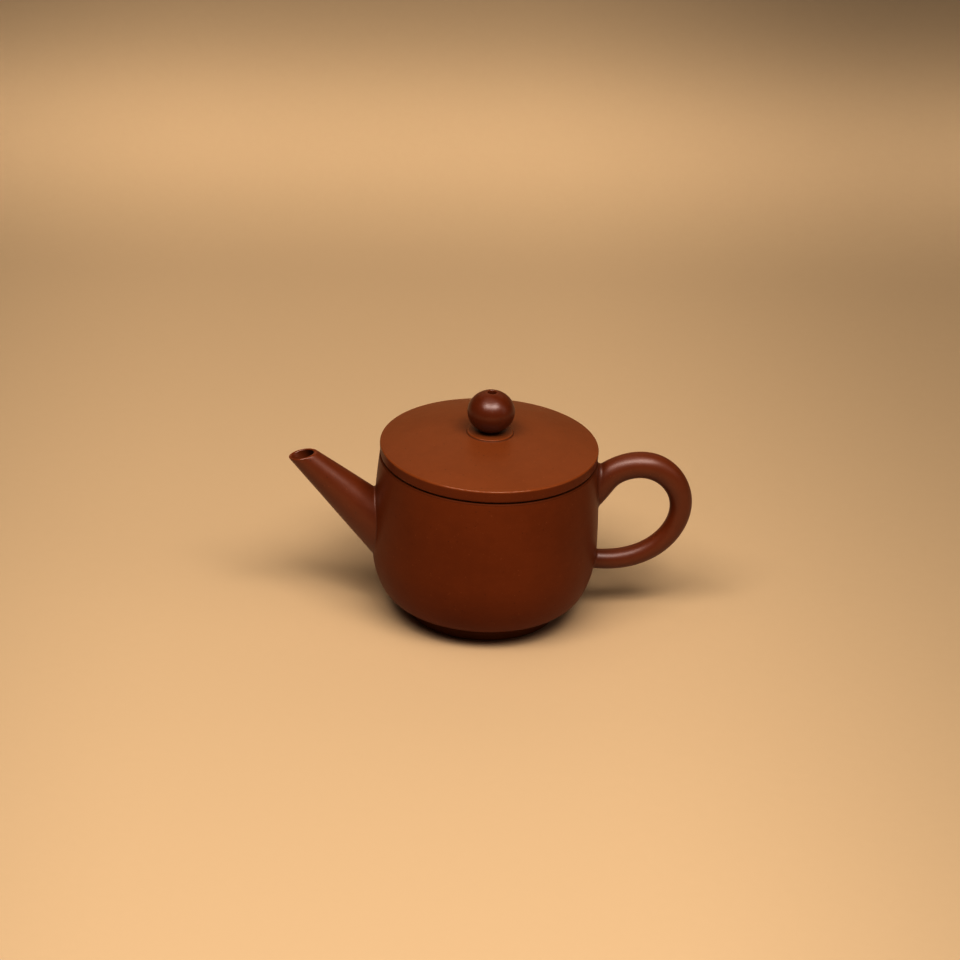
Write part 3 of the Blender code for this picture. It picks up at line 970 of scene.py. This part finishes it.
def make_handle(count=96, rings=150):
    columns, values = [], []
    for k in range(count):
        angle = 2 * math.pi * k / count
        ends = []
        for low_u, high_u, ease in ((0.0, 0.4, 1.5), (1.0, 0.7, 0.85)):
            u0 = crossing(lambda u: outside(handle_point(u, angle)[0]), low_u, high_u)
            step = 1e-3 if high_u > low_u else -1e-3
            here = handle_point(u0, angle)[0]
            ahead = handle_point(u0 + step, angle)[0]
            speed = (ahead - here).length / abs(step)
            across = Vector((0, 0, 0))
            turn = 0.02
            around = handle_point(u0, angle + turn)[0] - handle_point(u0, angle - turn)[0]
            across = (ahead - here).cross(around)
            if across.dot(handle_point(u0, angle)[1]) < 0:
                across = -across
            arc, n = luted(here, across.normalized(), ease)
            u1 = u0 + math.copysign((arc[0] - here).length / speed, step)
            fix = handle_point(u1, angle)[0] - arc[0]
            under = -outside(arc[-1]) - 0.01
            points = [arc[-1] + n * (under - 0.35)]
            shades = [0.0]
            for i in range(EASE_STEPS, -1, -1):
                s = i / EASE_STEPS
                points.append(arc[i] + fix * (1 - s) + n * under * s * s)
                # painted shade: the joint's crease gets a negative edge value, which the clay paints darker
                shades.append(-0.30 * math.sin(math.pi * s) ** 0.7)
            ends.append((points, shades, u1))
        (first, shades_a, ua), (second, shades_b, ub) = ends
        column, value = list(first), list(shades_a)
        for i in range(1, rings):
            t = i / rings
            p, e = handle_point(ua + (ub - ua) * t, angle)
            fade = min(1.0, t * 8, (1 - t) * 8)
            wave = noise.noise(Vector((math.cos(angle) * 1.2, math.sin(angle) * 1.2, t * 9.0 + 3)))
            column.append(p + e * 0.05 * wave * fade)
            value.append(0.0)
        column += second[::-1]
        value += shades_b[::-1]
        columns.append(column)
        values.append(value)
    bm, edges = grid(columns, values, cap_ends=True)
    return finish_mesh(
        "handle_clay_roll", bm, edges, "pot", ["handle"], [clay_handle]
    )


make_handle()


# ---------------------------------------------------------------- strainer
def inner_wall_radius(z):
    lean = (body_radius(z + 0.1) - body_radius(z - 0.1)) / 0.2
    return body_radius(z) - WALL * math.sqrt(1 + lean * lean)


def make_strainer(count=120, bands=18):
    depth = crossing(
        lambda s: -inner_wall_radius((SPOUT_START + s * along).z)
        - (SPOUT_START + s * along).x,
        -8,
        4,
    )
    centre_z = (SPOUT_START + depth * along).z

    def place(radius, angle, height):
        y, z = radius * math.sin(angle), centre_z + radius * math.cos(angle)
        reach = inner_wall_radius(z)
        return Vector((-math.sqrt(reach * reach - y * y) + height, y, z))

    edge, under = 0.5, DOME_R - DOME_THICK
    section = []
    for i in range(0, bands + 1):
        t = i / bands
        section.append((max(1e-7, DOME_R * t), edge + (DOME_HEIGHT - edge) * (1 - t * t)))
    section += [
        (DOME_R + 0.25, edge * 0.55),
        (DOME_R + 0.7, 0.12),
        (DOME_R + 0.9, -0.25),
        (under, -0.25),
    ]
    for i in range(bands + 1):
        t = 1 - i / bands
        section.append((max(1e-7, under * t), (DOME_HEIGHT - DOME_THICK) * (1 - t * t)))
    bm = bmesh.new()
    top = bm.verts.new(place(0, 0, section[0][1]))
    bottom = bm.verts.new(place(0, 0, section[-1][1]))
    rings = [
        [bm.verts.new(place(r, 2 * math.pi * k / count, h)) for r, h in section[1:-1]]
        for k in range(count)
    ]
    for k in range(count):
        here, there = rings[k], rings[(k + 1) % count]
        bm.faces.new((top, here[0], there[0]))
        for i in range(len(here) - 1):
            bm.faces.new((here[i], here[i + 1], there[i + 1], there[i]))
        bm.faces.new((bottom, there[-1], here[-1]))
    dome = finish_mesh(
        "spout_strainer_dome",
        bm,
        None,
        "pot",
        ["spout_strainer"],
        [clay_inside],
    )
    punch = bmesh.new()
    sides = 20
    for row in range(-2, 3):
        in_row = 5 - abs(row)
        for column in range(in_row):
            y = (column - (in_row - 1) / 2) * DOME_PITCH
            z = centre_z + row * DOME_PITCH * math.sqrt(3) / 2
            # a pierced hole is a little wider where the needle went in
            loops = []
            base = -inner_wall_radius(z)
            for x, radius in ((base - 1.0, DOME_HOLE_R * 0.94), (base + 8.0, DOME_HOLE_R * 1.12)):
                loops.append(
                    [
                        punch.verts.new(
                            (
                                x,
                                y + radius * math.cos(2 * math.pi * k / sides),
                                z + radius * math.sin(2 * math.pi * k / sides),
                            )
                        )
                        for k in range(sides)
                    ]
                )
            punch.faces.new(loops[0][::-1])
            punch.faces.new(loops[1])
            for k in range(sides):
                n = (k + 1) % sides
                punch.faces.new((loops[0][k], loops[0][n], loops[1][n], loops[1][k]))
    cut_away(dome, punch)
    return dome


make_strainer()

# ---------------------------------------------------------------- lid
flange_top = LID_UNDER_Z + 0.15
outline = subdivide_long(
    rounded(
        [
            (FLANGE_OUTER, flange_top, 0.05),
            (FLANGE_OUTER, FLANGE_BOTTOM + 3.0, 1.2),
            (FLANGE_OUTER - 0.75, FLANGE_BOTTOM, 0.7),
            (FLANGE_INNER, FLANGE_BOTTOM, 0.6),
            (FLANGE_INNER, LID_UNDER_Z - 0.4, 0.3),
            (FLANGE_INNER - 0.45, flange_top, 0.05),
        ]
    ),
    0.9,
)
bm, edges = revolve(outline, ROUND)
finish_mesh("lid_flange_clay", bm, edges, "lid_collar", ["lid_flange"], [clay_raw])

top = [(r, lid_top(r), 0) for r in [1.7 + (LID_R - 1.0 - 1.7) * i / 44 for i in range(45)]]
under = []
for i in range(20):
    r = FLANGE_INNER - 1.0 - (FLANGE_INNER - 1.0 - 1.8) * i / 19
    under.append((r, lid_top(r) - LID_THICK, 0))
outline = subdivide_long(
    rounded(
        [(VENT_R, lid_top(VENT_R), 0.15)]
        + top
        + [
            (LID_R, lid_top(LID_R), 0.5),
            (LID_R - 0.06, lid_top(LID_R) - 1.4, 0.5),
            (LID_UNDER_R, LID_UNDER_Z, 0.95),
            (FLANGE_INNER - 0.3, LID_UNDER_Z, 0.25),
        ]
        + under
        + [(VENT_R, lid_top(VENT_R) - LID_THICK, 0.2)],
        steps=8,
    ),
    1.2,
)


def lid_unevenness(angle, r, z):
    fade = min(1.0, max(0.0, (z - 53.5) / 2.0))
    return hand(angle, r, z, 0.025, 11.0) * fade if r > 12 else 0.0


bm, edges = revolve(outline, ROUND, lid_unevenness)
# painted light: the lid's upright side takes the body's darker clay and its top the lighter copy
finish_mesh(
    "lid_plate_clay",
    bm,
    edges,
    "lid",
    ["lid_plate"],
    [clay_lid_lit, clay_raw, clay_body],
    lambda centre, normal: 1
    if normal.z < -0.3 and math.hypot(centre.x, centre.y) < LID_UNDER_R - 0.6
    else (2 if centre.z < LID_EDGE_Z - 0.35 and math.hypot(centre.x, centre.y) > 33 else 0),
)

outline = subdivide_long(
    rounded(
        [
            (VENT_R, SEAT_Z, 0.1),
            (SEAT_R, SEAT_Z, 0.55),
            (SEAT_R + 0.02, lid_top(SEAT_R) + 0.04, 0.2),
            (SEAT_R + 0.5, lid_top(SEAT_R + 0.5) - 0.02, 0.1),
            (SEAT_R + 0.6, 60.05, 0.05),
            (VENT_R, 60.05, 0.05),
        ]
    ),
    0.7,
)
bm, edges = revolve(outline, 160)
finish_mesh("knob_seat_clay", bm, edges, "lid", ["knob_seat"], [clay_lid_lit])

ball = []
first = math.acos((VENT_MOUTH_R + 0.35) / KNOB_R)
last = -math.acos(2.95 / KNOB_R)
for i in range(61):
    a = first + (last - first) * i / 60
    ball.append((KNOB_R * math.cos(a), KNOB_Z + KNOB_HALF * math.sin(a), 0))
crown = KNOB_Z + KNOB_HALF * math.sin(math.acos(VENT_MOUTH_R / KNOB_R))
outline = subdivide_long(
    rounded(
        [(VENT_R, crown - 0.75, 0.3), (VENT_MOUTH_R - 0.08, crown - 0.02, 0.28)]
        + ball
        + [
            (2.85, SEAT_Z + 0.32, 0.16),
            (3.35, SEAT_Z - 0.02, 0.05),
            (3.3, SEAT_Z - 0.2, 0.02),
            (VENT_R, SEAT_Z - 0.2, 0.02),
        ]
    ),
    0.9,
)
bm, edges = revolve(outline, 160, lambda angle, r, z: hand(angle, r, z * 3, 0.03, 5.0) if r > 3.5 else 0.0)
finish_mesh("knob_ball_clay", bm, edges, "lid", ["knob"], [clay_knob_shaded])


# ---------------------------------------------------------------- studio
KEY = 7.1
CEILING = 5.4
BAND = 0.27
FILL = 1.1
BACK = 0.18
LIGHT_COLOUR = (1.0, 0.94, 0.90)
FLOOR_COLOUR = (0.56, 0.420, 0.262, 1)
GAMMA = 0.69


def make_studio():
    """A pale floor that curves up into the backdrop, one wide soft light over the camera, and a weak fill."""
    floor_material = studio_material("pale_floor", FLOOR_COLOUR, 0.85)
    # painted shade: the paper is painted darker up the sweep and towards its sides, where the light falls off
    tree = floor_material.node_tree
    shader = tree.nodes["Principled BSDF"]
    split = node(tree, "ShaderNodeSeparateXYZ", -900, 0)
    tree.links.new(node(tree, "ShaderNodeTexCoord", -1100, 0).outputs["Object"], split.inputs[0])
    sweep_shade = math_node(tree, "MULTIPLY", ramp(tree, split.outputs[2], 0.010, 0.060), 0.34)
    off = math_node(tree, "ABSOLUTE", math_node(tree, "ADD", split.outputs[0], 0.035))
    side_shade = math_node(tree, "MULTIPLY", ramp(tree, off, 0.06, 0.24), 0.22)
    shade = math_node(tree, "ADD", sweep_shade, side_shade)
    paper = noise_node(tree, split.inputs[0].links[0].from_socket, 260.0, 4.0, 0.6)
    shade = math_node(tree, "ADD", shade, math_node(tree, "MULTIPLY", math_node(tree, "SUBTRACT", paper, 0.5), 0.02))
    tree.links.new(mix_colour(tree, shade, FLOOR_COLOUR, (0, 0, 0, 1)), shader.inputs["Base Color"])
    sweep = [(0.2, 0.0)]
    bend, radius = 0.27, 0.42
    for i in range(41):
        a = math.pi / 2 * i / 40
        sweep.append((bend + radius * math.sin(a), radius - radius * math.cos(a)))
    sweep.append((bend + radius, 3.0))
    for name, outline in (("floor", [(-3.0, 0.0), (0.2, 0.0)]), ("sweep", sweep)):
        bm = bmesh.new()
        lines = [[bm.verts.new((x, y, z)) for y, z in outline] for x in (-4.0, 4.0)]
        for i in range(len(outline) - 1):
            bm.faces.new((lines[0][i], lines[1][i], lines[1][i + 1], lines[0][i + 1]))
        mesh = bpy.data.meshes.new(name)
        bm.to_mesh(mesh)
        bm.free()
        mesh.materials.append(floor_material)
        mesh.shade_smooth()
        paper_sheet = bpy.data.objects.new(name, mesh)
        bpy.context.scene.collection.objects.link(paper_sheet)

    def softbox(name, azimuth, elevation, distance, width, height, power, colour):
        data = bpy.data.lights.new(name, "AREA")
        data.shape = "RECTANGLE"
        data.size, data.size_y = width, height
        data.energy = power
        data.color = colour
        light = bpy.data.objects.new(name, data)
        a, e = math.radians(azimuth), math.radians(elevation)
        target = Vector((0, 0, 0.04))
        back = Vector((math.sin(a) * math.cos(e), -math.cos(a) * math.cos(e), math.sin(e)))
        light.location = target + back * distance
        light.rotation_mode = "QUATERNION"
        light.rotation_quaternion = (-back).to_track_quat("-Z", "Y")
        bpy.context.scene.collection.objects.link(light)
        return light

    softbox("key_left", -34, 57, 1.0, 0.54, 0.40, KEY * 0.98, LIGHT_COLOUR)
    softbox("key_right", 26, 57, 1.0, 0.54, 0.40, KEY * 1.10, LIGHT_COLOUR)
    softbox("fill_right", 68, 30, 1.2, 0.5, 0.6, FILL, LIGHT_COLOUR)
    softbox("fill_back", 176, 42, 0.62, 0.7, 0.3, BACK, LIGHT_COLOUR)
    softbox("ceiling", -40, 78, 1.4, 1.5, 1.2, CEILING, LIGHT_COLOUR)
    # a strip with a grid on it lights only the sweep behind the pot
    band = softbox("band", 0, 90, 0.7, 2.6, 0.08, BAND, LIGHT_COLOUR)
    band.location = (-0.15, 0.30, 0.70)
    band.rotation_quaternion = Vector((0, 0.08, -0.67)).to_track_quat("-Z", "Y")
    band.data.spread = math.radians(15)
    band.visible_glossy = False
    world = bpy.data.worlds.new("world")
    world.use_nodes = True
    background = world.node_tree.nodes["Background"]
    background.inputs[0].default_value = (1.0, 0.92, 0.86, 1)
    background.inputs[1].default_value = 0.06
    bpy.context.scene.world = world
    bpy.context.scene.view_settings.view_transform = "Standard"
    bpy.context.scene.view_settings.look = "None"
    bpy.context.scene.view_settings.gamma = GAMMA


make_studio()
make_camera()
